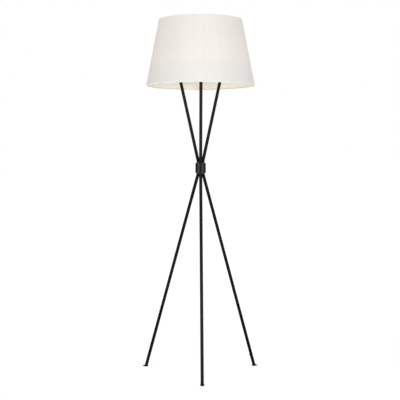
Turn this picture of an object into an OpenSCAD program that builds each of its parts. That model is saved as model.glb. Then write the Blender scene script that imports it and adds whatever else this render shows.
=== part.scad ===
// Tripod floor lamp: three thin iron legs meet at a waist collar, and three rods rise from it
// to a bracket that holds the lampholder, the harp and a tapered fabric shade.
// Lengths are in millimetres. +Z is up, and z = 0 is the floor. The modules draw the lamp with
// its upright axis at x = y = 0, and on_axis() sets it back so that the origin is the middle
// of the lamp's box on the floor. One leg points forward, towards -Y.

/* [Rods] */
// Diameter of the legs and of the upper rods
rod_d = 14; // [11:0.5:15]
// Wall of the tube that they are cut from
rod_wall = 1.7; // [1.2:0.1:1.9]
// Distance from the lamp's axis to a leg's centre line, on the floor
foot_r = 288; // [230:1:340]
// Height of the waist, where the centre lines of legs and rods meet
waist_z = 912; // [700:1:1050]
// Distance from the lamp's axis to that meeting point
waist_r = 4.6; // [4.2:0.1:6]
// Height of the bracket's arms
yoke_z = 1320; // [1200:1:1450]
// Distance from the lamp's axis to a rod's centre line, at the height of the arms
yoke_r = 107; // [90:1:130]

/* [Waist collar] */
// Diameter of the collar
hub_d = 46; // [42:1:56]
// Height of the collar
hub_h = 48; // [44:1:70]
// Radius of its rounded edges
hub_round = 4.5; // [2:0.5:7]
// Distance from the meeting point to the end of each leg and rod
rod_stop = 17.5; // [15:0.5:18]
// Distance from the meeting point to the end of each threaded stud
stud_stop = 9; // [7:0.5:10]
// Length of each stud inside its leg or rod
stud_grip = 14; // [8:1:30]
// Hole through the studs, the collar and the bracket's arms for the lamp wire
wire_way = 7; // [6:0.5:7.5]

/* [Feet] */
// Width of a foot's pad under the leg
foot_w = 18; // [16:0.5:26]
// Thickness of the pad under the leg
foot_t = 4; // [3:0.5:10]
// Distance from the middle of the leg's end to the tip of the toe
foot_toe = 18.5; // [16:0.5:32]
// Width of the toe's rounded tip
toe_w = 8; // [5:0.5:14]
// Thickness of the pad at the tip
toe_t = 1.5; // [1:0.1:2.9]
// Thickness of the rubber glide under it
glide_t = 1.5; // [1:0.5:4]
// How far the glide stays inside the pad's edge
glide_inset = 1; // [0.5:0.5:3]

/* [Bracket] */
// Diameter of the bracket's arms
arm_d = 14; // [11:0.5:15]
// Diameter of the ball at the end of each arm
knuckle_d = 21; // [19:0.5:26]
// Diameter of the sleeve that takes the top of a rod
sleeve_d = 19; // [17:0.5:24]
// Distance from the ball's centre to the sleeve's mouth
sleeve_len = 20; // [16:1:26]
// Distance from the ball's centre to the end of the rod
rod_top_gap = 9; // [8.5:0.5:11]
// Diameter of the screws that lock the rods
grub_d = 4; // [3:0.5:5]
// Diameter of the bracket's centre boss
boss_d = 34; // [30:1:44]
// Height of the boss
boss_h = 32; // [28:1:44]
// Radius of its rounded edges
boss_round = 3; // [1:0.5:5]
// Diameter of the wiring chamber in the boss
chamber_d = 20; // [18:1:22]
// Thickness of the cover that closes the chamber, without its plug
cover_t = 2; // [1:0.5:4]
// Height of the cover's plug
cover_plug = 4; // [2:0.5:6]

/* [Stem] */
// Diameter of the threaded nipple
nipple_d = 10; // [9.5:0.1:10.5]
// Thickness of the toothed washer under the lock nut
washer_t = 1; // [0.6:0.1:2]
// Diameter of the toothed washer
washer_d = 18; // [17:0.5:24]
// Thickness of the lock nut
nut_t = 4; // [3:0.5:6]
// Width of the lock nut across its flats
nut_af = 16; // [14:1:20]
// How far the nipple stands up into the lampholder's cap
nipple_stand = 8; // [6:0.5:8.5]

/* [Lampholder] */
// Diameter of the cap's neck
neck_d = 16; // [15:0.5:20]
// Height of the neck
neck_h = 9; // [9:0.5:14]
// Height of the flare above the neck
flare_h = 8; // [6:0.5:16]
// Height of the cap's straight rim
rim_h = 8; // [6:0.5:14]
// Wall of the cap
cap_wall = 1; // [0.8:0.1:1.5]
// Outside diameter of the cap
cap_d = 33; // [33:0.5:36]
// Wall of the shell
shell_wall = 0.7; // [0.5:0.1:1]
// Height of the shell
shell_h = 44; // [41:1:50]
// Wall of the insulating sleeve inside the shell
sleeve_wall = 0.8; // [0.5:0.1:1]
// How far the moulded body rises above the switch spindle, to the screw shell
body_rise = 7; // [5:0.5:9]
// Diameter of the switch spindle
spindle_d = 4; // [3:0.5:5]
// Diameter of the switch knob
knob_d = 13; // [10:0.5:16]
// Length of the knob
knob_l = 14; // [10:0.5:20]
// Grooves round the knob
knob_grooves = 12; // [8:1:16]

/* [Bulb] */
// Diameter of the bulb's screw base
base_d = 26; // [25.5:0.1:26.3]
// Length of the bulb's screw base
base_h = 23; // [22:0.5:26]
// Diameter of the bulb's globe
globe_d = 60; // [50:1:66]
// Height of the glass above the base
glass_h = 82; // [74:1:92]
// Wall of the glass
glass_wall = 1; // [0.8:0.1:1.5]

/* [Harp] */
// Height from the saddle to the seat of the shade
harp_h = 203; // [190:1:240]
// Diameter of the harp's wire
harp_d = 4.5; // [4:0.1:5.5]
// Half of the distance between the harp's feet
harp_foot = 33; // [31:0.5:36]
// Half of the harp's width at its widest
harp_half = 57; // [52:1:62]
// Radius of the harp's top corners
harp_corner = 38; // [28:1:42]
// Angle at which the harp opens above its feet
harp_splay = 25; // [20:1:35]
// Width of the saddle's strip
saddle_w = 13; // [12.5:0.5:18]
// Thickness of the saddle's strip
saddle_t = 1.5; // [1.2:0.1:2]
// Height of the saddle's shoulders, where the harp stands
saddle_rise = 22; // [18:1:30]
// Height of the tabs that enter the harp's feet
tab_h = 11; // [8:0.5:13]
// Length of the sleeves that lock the harp's feet
ferrule_h = 14; // [12:0.5:16]
// How far a sleeve slides up to free a foot
ferrule_travel = 14; // [12:0.5:16]
// Wall of those sleeves
ferrule_wall = 1; // [0.8:0.1:1.5]
// Diameter of the seat under the shade's washer
seat_d = 16; // [14:0.5:20]
// Diameter of the stud that takes the finial
finial_stud_d = 6.4; // [6:0.1:7]

/* [Shade] */
// Diameter over the bottom rim
shade_bottom_d = 483; // [400:1:560]
// Diameter over the top rim
shade_top_d = 369; // [280:1:420]
// Height of the shade
shade_h = 292; // [260:1:340]
// Height from the seat on the harp to the top rim
spider_drop = 20.5; // [14:0.5:30]
// Thickness of the linen
linen_t = 0.6; // [0.4:0.1:1]
// Thickness of the stiff liner behind it
liner_t = 0.8; // [0.5:0.1:1.2]
// Thickness of the hem tape
hem_t = 0.5; // [0.3:0.1:0.8]
// Height of the hem tape on the outside
hem_h = 11; // [10:0.5:18]
// Diameter of the wire in the rims
ring_d = 3; // [2.5:0.1:4]
// Diameter of the spider's arms
spider_d = 4; // [3:0.1:5]
// Distance from the axis to the bend in the spider's arms
spider_bend_r = 150; // [60:1:160]
// Diameter of the washer in the middle of the spider
spider_washer_d = 26; // [24:0.5:34]
// Thickness of that washer
spider_washer_t = 1.6; // [1.2:0.1:3]
// Hole in that washer
spider_hole_d = 11; // [9:0.5:12]

/* [Finial] */
// Diameter of the finial's ball
finial_ball = 15; // [12:0.5:18]
// Diameter of the finial's foot
finial_foot = 16; // [14:0.5:20]
// Height of the finial
finial_h = 30; // [26:1:40]

/* [Wiring] */
// Diameter of the lamp wire's sheath
wire_d = 5; // [4:0.1:5.2]
// Diameter of one insulated core
core_d = 1.8; // [1.4:0.1:2.2]
// Height of the outlet bushing above the floor
outlet_z = 52; // [40:1:200]
// Diameter of the hole that the bushing fills
outlet_d = 8; // [7.6:0.1:8.4]
// Diameter of the bushing's flange
bush_flange = 11; // [10:0.5:12.5]
// How far the flange stands off the leg
bush_stand = 2; // [1:0.5:4]

/* [Fits] */
// Clearance all round a piece that is fixed in a socket or on a thread
fit = 0.15; // [0.05:0.05:0.2]
// Clearance all round a piece that turns or slides on another
run_fit = 0.08; // [0.05:0.01:0.1]
// Gap between faces that turn past each other
turn_gap = 0.3; // [0.2:0.1:0.5]

/* [Hidden] */
$fn = 64;
eps = 0.01;
hair = 0.02;
lap = 0.1;

// The directions of the legs, seen from above. The wire runs down the right one.
LEGS = [for (i = [0:2]) i * 360 / 3 - 90];
FRONT = LEGS[0];
RIGHT = LEGS[1];
LEFT = LEGS[2];

// Stand
rod_bore = rod_d - 2 * rod_wall;
stud_d = rod_bore - 2 * fit;
foot_top = glide_t + foot_t;
leg_tilt = atan2(foot_r - waist_r, waist_z);
rod_tilt = atan2(yoke_r - waist_r, yoke_z - waist_z);
leg_end_r = foot_r - foot_top * tan(leg_tilt);
leg_len = (waist_z - foot_top) / cos(leg_tilt);
rod_len = (yoke_z - waist_z) / cos(rod_tilt);
outlet_s = (waist_z - outlet_z) / cos(leg_tilt);

// Bracket and stem, from the bottom up
chamber_top = yoke_z + wire_way;
boss_bottom = yoke_z - boss_h / 2;
boss_top = yoke_z + boss_h / 2;
nut_z = boss_top + washer_t;
saddle_z = nut_z + nut_t;
holder_z = saddle_z + saddle_t;

// Lampholder
cap_h = neck_h + flare_h + rim_h;
cap_bore = cap_d - 2 * cap_wall;
shell_d = cap_bore - 2 * fit;
shell_bore = shell_d - 2 * shell_wall;
holder_sleeve_d = shell_bore - 2 * fit;
holder_sleeve_bore = holder_sleeve_d - 2 * sleeve_wall;
body_d = holder_sleeve_bore - 2 * fit;
shell_z = holder_z + neck_h + flare_h;
spindle_way = spindle_d + 2;
spindle_z = shell_z + rim_h + spindle_way / 2 + 0.5;
body_h = spindle_z - shell_z + body_rise;
screw_z = shell_z + body_h;
screw_bore = base_d + 2 * run_fit;
screw_wall = (holder_sleeve_bore - screw_bore) / 2 - fit;
terminal_z = shell_z + body_h / 2;
terminal_r = body_d / 2 - 4;
terminal_d = 5;
terminal_t = 2.5;
slot_w = 0.8;
contact_h = 2.5;
base_z = screw_z + contact_h + turn_gap;
glass_z = base_z + base_h;
knob_y = cap_d / 2 + 1;
knob_end = 2.5;
wire_top = holder_z + neck_h + 2;

// Harp and shade
tab_z = saddle_z + saddle_rise;
seat_z = holder_z + harp_h;
seat_t = spider_d - spider_washer_t + 0.8;
harp_top = seat_z - seat_t - harp_d / 2;
harp_bend = 12;
eyelet_d = 12;
stud_shank = 5;
washer_z = seat_z + turn_gap;
finial_z = washer_z + spider_washer_t + turn_gap;
finial_stud_h = 14;
shade_top = seat_z + spider_drop;
shade_bottom = shade_top - shade_h;
shade_slope = (shade_bottom_d - shade_top_d) / 2 / shade_h;
shade_skin = linen_t + liner_t;
top_ring_z = shade_top - hem_t - ring_d / 2 - fit;
bottom_ring_z = shade_bottom + hem_t + ring_d / 2 + fit;
SPIDER = [for (leg = LEGS) leg + 180];

// The origin is the middle of the box that the lamp fills on the floor. The front foot
// reaches further forward than the shade reaches back, so the axis stands behind it.
foot_reach = leg_end_r + foot_toe;
axis_y = (foot_reach - shade_bottom_d / 2) / 2;

module on_axis() {
    translate([0, axis_y, 0]) children();
}

// ---- Forms that several pieces share ----

// A turned bar with rounded edges
module turned_bar(d, h, round) {
    rotate_extrude() {
        square([d / 2 - round, h]);
        translate([0, round]) square([d / 2, h - 2 * round]);
        for (z = [round, h - round])
            translate([d / 2 - round, z])
                intersection() {
                    circle(r = round);
                    translate([0, -round]) square(2 * round);
                }
    }
}

module tube(d, bore, h) {
    difference() {
        cylinder(d = d, h = h);
        translate([0, 0, -1]) cylinder(d = bore, h = h + 2);
    }
}

// A straight bar with round ends, from one point to another. The balls are a hair fatter than
// the bar, so that their surfaces cross it cleanly.
module bar(from, to, d) {
    way = to - from;
    length = norm(way);
    translate(from) {
        rotate([0, acos(way[2] / length), atan2(way[1], way[0])]) cylinder(d = d, h = length);
        sphere(d = d + 2 * hair);
    }
    translate(to) sphere(d = d + 2 * hair);
}

// One bend of a profile: it starts at the origin along +Z and turns towards +X
module bend(turn, radius) {
    mirror([turn < 0 ? 1 : 0, 0, 0])
        translate([radius, 0, 0])
            rotate([90, 0, 0])
                rotate(180 - abs(turn))
                    rotate_extrude(angle = abs(turn))
                        translate([radius, 0]) mirror([1, 0]) children();
}

// A profile that follows steps of [straight length, turn, bend radius, roll before the bend].
// Each straight stretch is a hair thinner than the bends and reaches a little way into them.
module run(steps, i = 0) {
    if (i < len(steps)) {
        step = steps[i];
        ahead = step[0];
        turn = step[1];
        radius = step[2];
        if (ahead > 0)
            translate([0, 0, -lap]) linear_extrude(ahead + 2 * lap) scale(1 - lap / 20) children();
        translate([0, 0, ahead]) rotate(step[3]) {
            if (turn != 0) bend(turn, radius) children();
            side = sign(turn) * radius * (1 - cos(turn));
            translate([side, 0, radius * sin(abs(turn))])
                rotate([0, turn, 0]) run(steps, i + 1) children();
        }
    }
}

// Frames that point from the waist down a leg and up a rod, +Z along it and +X outwards
module down_leg(leg) {
    rotate(leg) translate([waist_r, 0, waist_z]) rotate([0, 180 - leg_tilt, 0]) children();
}

module up_rod(leg) {
    rotate(leg) translate([waist_r, 0, waist_z]) rotate([0, rod_tilt, 0]) children();
}

// The frame of a bracket ball: +Z runs down its rod
module down_rod(leg) {
    rotate(leg) translate([yoke_r, 0, yoke_z]) rotate([0, 180 + rod_tilt, 0]) children();
}

// ---- Feet and legs ----

// The outline of a foot: a round heel under the leg, and straight sides that run into it
// from the small round tip of the toe. The rounds are a hair fatter, as in a bar.
module foot_outline(inset) {
    heel_r = foot_w / 2 - inset;
    tip_r = toe_w / 2 - inset;
    tip_x = foot_toe - toe_w / 2;
    turn = acos((heel_r - tip_r) / tip_x);
    circle(r = heel_r + hair);
    translate([tip_x, 0]) circle(r = tip_r + hair);
    polygon([
        for (side = [1, -1]) [heel_r * cos(turn), side * heel_r * sin(turn)],
        for (side = [-1, 1]) [tip_x + tip_r * cos(turn), side * tip_r * sin(turn)],
    ]);
}

// The pad is level under the leg, and its top falls away to the thin tip
module foot(leg) {
    level = rod_d / 2 / cos(leg_tilt) + fit;
    fall = atan2(foot_t - toe_t, foot_toe - level);
    color("#2b2926")
        rotate(leg) translate([leg_end_r, 0, glide_t])
            difference() {
                linear_extrude(foot_t) foot_outline(0);
                translate([level, -foot_w, foot_t]) rotate([0, fall, 0])
                    cube([2 * foot_toe, 2 * foot_w, 2 * foot_t]);
            }
}

module glide(leg) {
    color("#3a3a3a")
        rotate(leg) translate([leg_end_r, 0, 0])
            linear_extrude(glide_t) foot_outline(glide_inset);
}

module leg(leg) {
    over = rod_d;
    color("#2b2926")
        difference() {
            down_leg(leg) translate([0, 0, rod_stop])
                tube(rod_d, rod_bore, leg_len - rod_stop + over);
            rotate(leg) translate([leg_end_r - 4 * rod_d, -rod_d, foot_top - 4 * rod_d])
                cube([8 * rod_d, 2 * rod_d, 4 * rod_d]);
            if (leg == RIGHT)
                down_leg(leg) translate([0, 0, outlet_s]) rotate([-90, 0, 0])
                    cylinder(d = outlet_d, h = rod_d);
        }
}

// ---- Waist ----

module collar() {
    color("#262421")
        difference() {
            translate([0, 0, waist_z - hub_h / 2]) turned_bar(hub_d, hub_h, hub_round);
            for (leg = LEGS) {
                down_leg(leg) collar_socket();
                up_rod(leg) collar_socket();
            }
            // The wire's way from the right rod to the right leg
            down_leg(RIGHT) cylinder(d = wire_way, h = rod_stop);
            up_rod(RIGHT) cylinder(d = wire_way, h = rod_stop);
            rotate(RIGHT) translate([waist_r, 0, waist_z]) sphere(d = wire_way + 1);
        }
}

// The socket of one leg or rod: a seat for its end and a thread for its stud
module collar_socket() {
    translate([0, 0, rod_stop]) cylinder(d = rod_d + 2 * fit, h = hub_h);
    translate([0, 0, stud_stop]) cylinder(d = rod_bore, h = hub_h);
}

module stud() {
    translate([0, 0, stud_stop]) tube(stud_d, wire_way, rod_stop - stud_stop + stud_grip);
}

module leg_studs() {
    color("#b7b3a8") for (leg = LEGS) down_leg(leg) stud();
}

module rod_studs() {
    color("#b7b3a8") for (leg = LEGS) up_rod(leg) stud();
}

module rod(leg) {
    color("#2b2926")
        up_rod(leg) translate([0, 0, rod_stop])
            tube(rod_d, rod_bore, rod_len - rod_stop - rod_top_gap);
}

// ---- Bracket ----

module bracket() {
    color("#2b2926")
        difference() {
            union() {
                translate([0, 0, boss_bottom]) turned_bar(boss_d, boss_h, boss_round);
                for (leg = LEGS) {
                    rotate(leg) translate([0, 0, yoke_z]) rotate([0, 90, 0])
                        cylinder(d = arm_d, h = yoke_r);
                    down_rod(leg) {
                        sphere(d = knuckle_d);
                        cylinder(d = sleeve_d, h = sleeve_len);
                    }
                }
            }
            translate([0, 0, boss_bottom - 1])
                cylinder(d = chamber_d, h = chamber_top - boss_bottom + 1);
            translate([0, 0, yoke_z]) cylinder(d = nipple_d + 2 * fit, h = boss_h);
            for (leg = LEGS) {
                rotate(leg) translate([0, 0, yoke_z]) rotate([0, 90, 0])
                    cylinder(d = wire_way, h = yoke_r);
                down_rod(leg) bracket_socket();
            }
        }
}

// The hollow of a bracket ball: room for the wire to turn, the rod's seat and its screw
module bracket_socket() {
    sphere(r = rod_top_gap - 2);
    cylinder(d = rod_bore, h = sleeve_len);
    translate([0, 0, rod_top_gap]) cylinder(d = rod_d + 2 * fit, h = sleeve_len);
    at_grub() cylinder(d = grub_d + 2 * fit, h = sleeve_d);
}

module at_grub() {
    translate([0, 0, (rod_top_gap + sleeve_len) / 2]) rotate([0, -90, 0])
        translate([0, 0, rod_d / 2]) children();
}

module bracket_screws() {
    color("#8d8a83") for (leg = LEGS) down_rod(leg) at_grub() translate([0, 0, fit]) grub_screw();
}

// A grub screw with a hexagon socket, its point at the origin
module grub_screw() {
    length = (sleeve_d - rod_d) / 2 + 0.5;
    difference() {
        cylinder(d = grub_d, h = length);
        translate([0, 0, length / 2]) cylinder(d = grub_d / 2, h = length, $fn = 6);
    }
}

module bracket_cover() {
    color("#2b2926") {
        translate([0, 0, boss_bottom - cover_t - fit])
            turned_bar(boss_d - 4, cover_t, cover_t / 2.5);
        translate([0, 0, boss_bottom - fit - eps])
            cylinder(d = chamber_d - 2 * fit, h = cover_plug);
    }
}

module nipple() {
    color("#c9b37a")
        translate([0, 0, chamber_top + fit])
            tube(nipple_d, wire_way, holder_z + nipple_stand - chamber_top - fit);
}

module toothed_washer() {
    teeth = 12;
    color("#b7b3a8")
        translate([0, 0, boss_top])
            difference() {
                cylinder(d = washer_d, h = washer_t);
                translate([0, 0, -1]) cylinder(d = nipple_d + 2 * fit, h = washer_t + 2);
                for (i = [0:teeth - 1])
                    rotate(i * 360 / teeth) translate([washer_d / 2, 0, -1])
                        cylinder(d = 2, h = washer_t + 2, $fn = 4);
            }
}

module lock_nut() {
    color("#b7b3a8")
        translate([0, 0, nut_z])
            difference() {
                cylinder(d = nut_af / cos(30), h = nut_t, $fn = 6);
                translate([0, 0, -1]) cylinder(d = nipple_d + 2 * fit, h = nut_t + 2);
            }
}

// ---- Harp ----

// The saddle is one strip: flat on the nut, then up beside the lampholder to two narrow tabs
module harp_saddle() {
    corner = 3;
    flat = neck_d / 2 + 3;
    upright = 4;
    // The two bends take one corner radius each way, and the slope the rest
    side = harp_foot - flat - corner;
    rise = saddle_rise - saddle_t / 2 - corner - upright;
    slope = atan2(rise, side);
    color("#8d8a83")
        difference() {
            for (way = [0, 180])
                rotate(way) translate([0, 0, saddle_z + saddle_t / 2]) rotate([0, 90, 0]) {
                    run([
                        [flat, -slope, corner, 0],
                        [norm([side, rise]), slope - 90, corner, 0],
                        [upright - lap, 0, 0, 0],
                    ]) square([saddle_t, saddle_w], center = true);
                }
            translate([0, 0, saddle_z - 1]) cylinder(d = nipple_d + 2 * fit, h = saddle_t + 2);
        }
    tab_w = harp_d - 0.4;
    color("#8d8a83")
        for (side = [-1, 1])
            translate([side * harp_foot - saddle_t / 2, -tab_w / 2, tab_z])
                cube([saddle_t, tab_w, tab_h]);
}

module harp() {
    stretch = ferrule_h + ferrule_travel + 4;
    out = harp_half - harp_foot - 2 * harp_bend * (1 - cos(harp_splay));
    lean = out / sin(harp_splay);
    up = harp_top - harp_corner - tab_z - stretch - 2 * harp_bend * sin(harp_splay)
        - lean * cos(harp_splay);
    color("#8d8a83")
        difference() {
            union() {
                for (way = [0, 180])
                    rotate(way) translate([harp_foot, 0, tab_z + fit])
                        run([
                            [stretch - fit, harp_splay, harp_bend, 0],
                            [lean, -harp_splay, harp_bend, 0],
                            [up, -90, harp_corner, 0],
                            [harp_half - harp_corner, 0, 0, 0],
                        ]) circle(d = harp_d);
                translate([0, 0, harp_top - harp_d / 2]) cylinder(d = eyelet_d, h = harp_d);
            }
            translate([0, 0, harp_top - harp_d]) cylinder(d = stud_shank + 2 * fit, h = 2 * harp_d);
            for (side = [-1, 1])
                translate([side * harp_foot - saddle_t / 2 - fit, -harp_d, tab_z - 1])
                    cube([saddle_t + 2 * fit, 2 * harp_d, tab_h + 1 + fit]);
        }
}

module finial_stud() {
    color("#c9b37a") {
        translate([0, 0, harp_top - harp_d / 2]) cylinder(d = stud_shank, h = harp_d + eps);
        translate([0, 0, seat_z - seat_t]) cylinder(d = seat_d, h = seat_t);
        translate([0, 0, seat_z - eps]) cylinder(d = finial_stud_d, h = finial_stud_h);
    }
}

module harp_ferrule(side) {
    color("#a9a59b")
        translate([side * harp_foot, 0, tab_z + turn_gap])
            tube(harp_d + 2 * run_fit + 2 * ferrule_wall, harp_d + 2 * run_fit, ferrule_h);
}

// ---- Lampholder ----

module holder_cap() {
    inner = cap_bore / 2;
    color("#2b2926")
        difference() {
            translate([0, 0, holder_z])
                rotate_extrude()
                    polygon([
                        [nipple_d / 2 + fit, 0],
                        [neck_d / 2, 0],
                        [neck_d / 2, neck_h - cap_wall],
                        [cap_d / 2, neck_h + flare_h],
                        [cap_d / 2, cap_h],
                        [inner, cap_h],
                        [inner, neck_h + flare_h],
                        [neck_d / 2 - cap_wall, neck_h],
                        [nipple_d / 2 + fit, neck_h],
                    ]);
            at_cap_screw() cylinder(d = grub_d + 2 * fit - 1, h = neck_d);
        }
}

module at_cap_screw() {
    translate([0, nipple_d / 2, holder_z + neck_h / 2]) rotate([-90, 0, 0]) children();
}

module cap_screw() {
    head = 2;
    color("#8d8a83")
        at_cap_screw() translate([0, 0, fit])
            difference() {
                union() {
                    cylinder(d = grub_d - 1, h = (neck_d - nipple_d) / 2 + eps);
                    translate([0, 0, (neck_d - nipple_d) / 2]) cylinder(d = grub_d + 1, h = head);
                }
                translate([-grub_d, -slot_w / 2, (neck_d - nipple_d) / 2 + head / 2])
                    cube([2 * grub_d, slot_w, head]);
            }
}

module holder_shell() {
    bead = 0.8;
    color("#2b2926")
        difference() {
            union() {
                translate([0, 0, shell_z + fit]) cylinder(d = shell_d, h = shell_h);
                for (z = [rim_h + 2, shell_h - bead])
                    translate([0, 0, shell_z + z])
                        rotate_extrude() translate([shell_d / 2, 0]) circle(r = bead);
            }
            translate([0, 0, shell_z - 1]) cylinder(d = shell_bore, h = shell_h + 4);
            switch_way();
        }
}

// The way of the switch spindle out through the lampholder's walls
module switch_way() {
    translate([0, 0, spindle_z]) rotate([90, 0, 0]) cylinder(d = spindle_way, h = cap_d);
}

module holder_sleeve() {
    color("#c8b48a")
        difference() {
            translate([0, 0, shell_z + fit])
                tube(holder_sleeve_d, holder_sleeve_bore, shell_h - 2);
            switch_way();
        }
}

module holder_body() {
    notch = 10;
    color("#1d1c1b")
        difference() {
            translate([0, 0, shell_z + fit]) cylinder(d = body_d, h = body_h - fit);
            for (side = [0, 180])
                rotate(side) translate([terminal_r, -notch / 2, shell_z - 1])
                    cube([notch, notch, body_h - 1]);
            translate([0, 0, spindle_z]) rotate([90, 0, 0])
                cylinder(d = spindle_d + 2 * run_fit, h = cap_d);
        }
}

module terminal_screws() {
    color("#c9b37a")
        for (side = [0, 180])
            rotate(side) translate([terminal_r, 0, terminal_z]) rotate([0, 90, 0])
                difference() {
                    cylinder(d = terminal_d, h = terminal_t);
                    translate([-terminal_d, -slot_w / 2, terminal_t / 2])
                        cube([2 * terminal_d, slot_w, terminal_t]);
                }
}

module screw_shell() {
    floor_t = 0.5;
    below_rim = 4;
    color("#c9b37a")
        translate([0, 0, screw_z])
            difference() {
                cylinder(d = screw_bore + 2 * screw_wall, h = shell_h - body_h - below_rim);
                translate([0, 0, floor_t]) cylinder(d = screw_bore, h = shell_h);
                translate([0, 0, -1]) cylinder(d = base_d / 2, h = floor_t + 2);
            }
}

// A round foot on the moulded body, and the tongue that meets the bulb's base
module centre_contact() {
    foot_d = 8;
    tongue = [6, 4, contact_h];
    color("#c9b37a")
        translate([0, 0, screw_z]) {
            cylinder(d = foot_d, h = 1);
            translate([-tongue[0] / 2, -tongue[1] / 2, 0]) cube(tongue);
        }
}

module switch_spindle() {
    inner_y = spindle_d;
    outer_y = knob_y + knob_l - knob_end - fit;
    color("#8d8a83")
        translate([0, -inner_y, spindle_z]) rotate([90, 0, 0])
            cylinder(d = spindle_d, h = outer_y - inner_y);
}

module switch_knob() {
    round = 1.5;
    groove_d = 2;
    collar_l = 3;
    color("#1d1c1b")
        translate([0, -knob_y, spindle_z]) rotate([90, 0, 0])
            difference() {
                turned_bar(knob_d, knob_l, round);
                translate([0, 0, -1])
                    cylinder(d = spindle_d + 2 * fit, h = knob_l - knob_end + 1);
                for (i = [0:knob_grooves - 1])
                    rotate(i * 360 / knob_grooves)
                        translate([knob_d / 2 + 0.15 * groove_d, 0, collar_l])
                            cylinder(d = groove_d, h = knob_l);
            }
}

// ---- Bulb ----

module bulb_base() {
    insulator = 3;
    color("#b9b9b6")
        translate([0, 0, base_z])
            rotate_extrude()
                polygon([
                    [0, 0],
                    [4.5, 0],
                    [5, 1],
                    [base_d / 2 - 3, insulator],
                    [base_d / 2, insulator + 1.5],
                    [base_d / 2, base_h],
                    [0, base_h],
                ]);
}

// The glass is a ball on a cone whose sides run into it without an edge
module glass_outline(inset) {
    globe = globe_d / 2 - inset;
    neck = base_d / 2 - inset;
    centre = glass_h - globe_d / 2;
    reach = norm([neck, centre]);
    turn = atan2(neck, centre) - asin(globe / reach);
    touch = [globe * cos(turn), centre + globe * sin(turn)];
    difference() {
        union() {
            translate([0, centre]) circle(r = globe);
            polygon([[0, 0], [neck, 0], touch, [0, touch[1]]]);
        }
        translate([-globe_d, -globe_d]) square([globe_d, 3 * globe_d]);
    }
}

module bulb_glass() {
    color("#f4f3ee")
        translate([0, 0, glass_z])
            rotate_extrude()
                difference() {
                    glass_outline(0);
                    glass_outline(glass_wall);
                }
}

module bulb_filament() {
    stem = glass_h * 0.45;
    strips = 4;
    strip_l = glass_h * 0.36;
    color("#e8dcae")
        translate([0, 0, glass_z]) {
            cylinder(d1 = 12, d2 = 5, h = stem * 0.4);
            cylinder(d = 4, h = stem);
            for (i = [0:strips - 1])
                rotate(45 + i * 360 / strips)
                    bar([1, 0, stem - 1], [8, 0, stem - 1 + strip_l], 1.8);
        }
}

// ---- Shade ----

function shade_r(z) = shade_top_d / 2 + (shade_top - z) * shade_slope;

// How deep the hem tape reaches behind the shade's face where it wraps a rim's wire
hem_depth = 2 * hem_t + shade_skin + ring_d + 2 * fit;

// A layer of the shade's wall, from one depth to another under the outer face
module shade_layer(low, high, from, to) {
    rotate_extrude($fn = 128)
        polygon([
            [shade_r(low) - from, low],
            [shade_r(high) - from, high],
            [shade_r(high) - to, high],
            [shade_r(low) - to, low],
        ]);
}

module shade_linen() {
    color("#f4efe4")
        shade_layer(shade_bottom + hem_t, shade_top - hem_t, hem_t, hem_t + linen_t);
}

module shade_liner() {
    color("#efe8d6")
        shade_layer(shade_bottom + hem_t, shade_top - hem_t, hem_t + linen_t, hem_t + shade_skin);
}

// Where a rim's wire lies: behind the liner, in the fold of the hem tape
function ring_r(z) = shade_r(z) - hem_t - shade_skin - ring_d / 2 - fit;

// The hem tape goes up the outside, round the rim and its wire, and up the liner inside
module hem(rim, up) {
    fold = hem_t + ring_d + 2 * fit;
    inside = hem_t + shade_skin;
    wrap = ring_d + 2 * fit;
    points = [
        [0, 0],
        [0, hem_h],
        [hem_t, hem_h],
        [hem_t, hem_t],
        [inside + wrap, hem_t],
        [inside + wrap, fold],
        [inside, fold + ring_d],
        [inside, hem_h],
        [inside + hem_t, hem_h],
        [inside + hem_t, fold + ring_d + hem_t],
        [hem_depth, fold + hem_t],
        [hem_depth, 0],
    ];
    rotate_extrude($fn = 128)
        polygon([for (p = points) [shade_r(rim + up * p[1]) - p[0], rim + up * p[1]]]);
}

module shade_top_hem() {
    color("#f7f3ea") hem(shade_top, -1);
}

module shade_bottom_hem() {
    color("#f7f3ea") hem(shade_bottom, 1);
}

module wire_ring(z) {
    translate([0, 0, z])
        rotate_extrude($fn = 128) translate([ring_r(z), 0]) circle(d = ring_d, $fn = 32);
}

// Three arms run out level from under the washer, which stays flush on top for the finial,
// and then rise to the tape that binds them to the top rim's wire
module shade_spider() {
    end_r = spider_d / 2 + hair;
    arm_z = washer_z + spider_washer_t - end_r;
    start = [seat_d / 2 + turn_gap + end_r, 0, arm_z];
    corner = [spider_bend_r, 0, arm_z];
    end = [shade_r(top_ring_z) - hem_depth - end_r - fit, 0, top_ring_z];
    color("#d8d4c8")
        difference() {
            union() {
                translate([0, 0, washer_z]) cylinder(d = spider_washer_d, h = spider_washer_t);
                for (arm = SPIDER)
                    rotate(arm) {
                        bar(start, corner, spider_d);
                        bar(corner, end, spider_d);
                    }
            }
            translate([0, 0, washer_z - 1]) cylinder(d = spider_hole_d, h = spider_washer_t + 2);
        }
}

module shade_top_ring() {
    color("#d8d4c8") wire_ring(top_ring_z);
}

module shade_bottom_ring() {
    color("#d8d4c8") wire_ring(bottom_ring_z);
}

module finial() {
    neck = finial_foot / 4 + 1;
    ball_z = finial_h - finial_ball / 2;
    color("#2b2926")
        translate([0, 0, finial_z])
            difference() {
                rotate_extrude()
                    difference() {
                        union() {
                            square([finial_foot / 2, 3]);
                            square([neck, ball_z]);
                            translate([0, 5]) square([finial_foot / 2 - 1, 2]);
                            translate([0, ball_z]) circle(d = finial_ball);
                        }
                        translate([-finial_ball, -1]) square([finial_ball, finial_h + 2]);
                    }
                translate([0, 0, -1])
                    cylinder(d = finial_stud_d + 2 * run_fit, h = finial_stud_h + 1);
            }
}

// ---- Wiring ----

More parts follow.
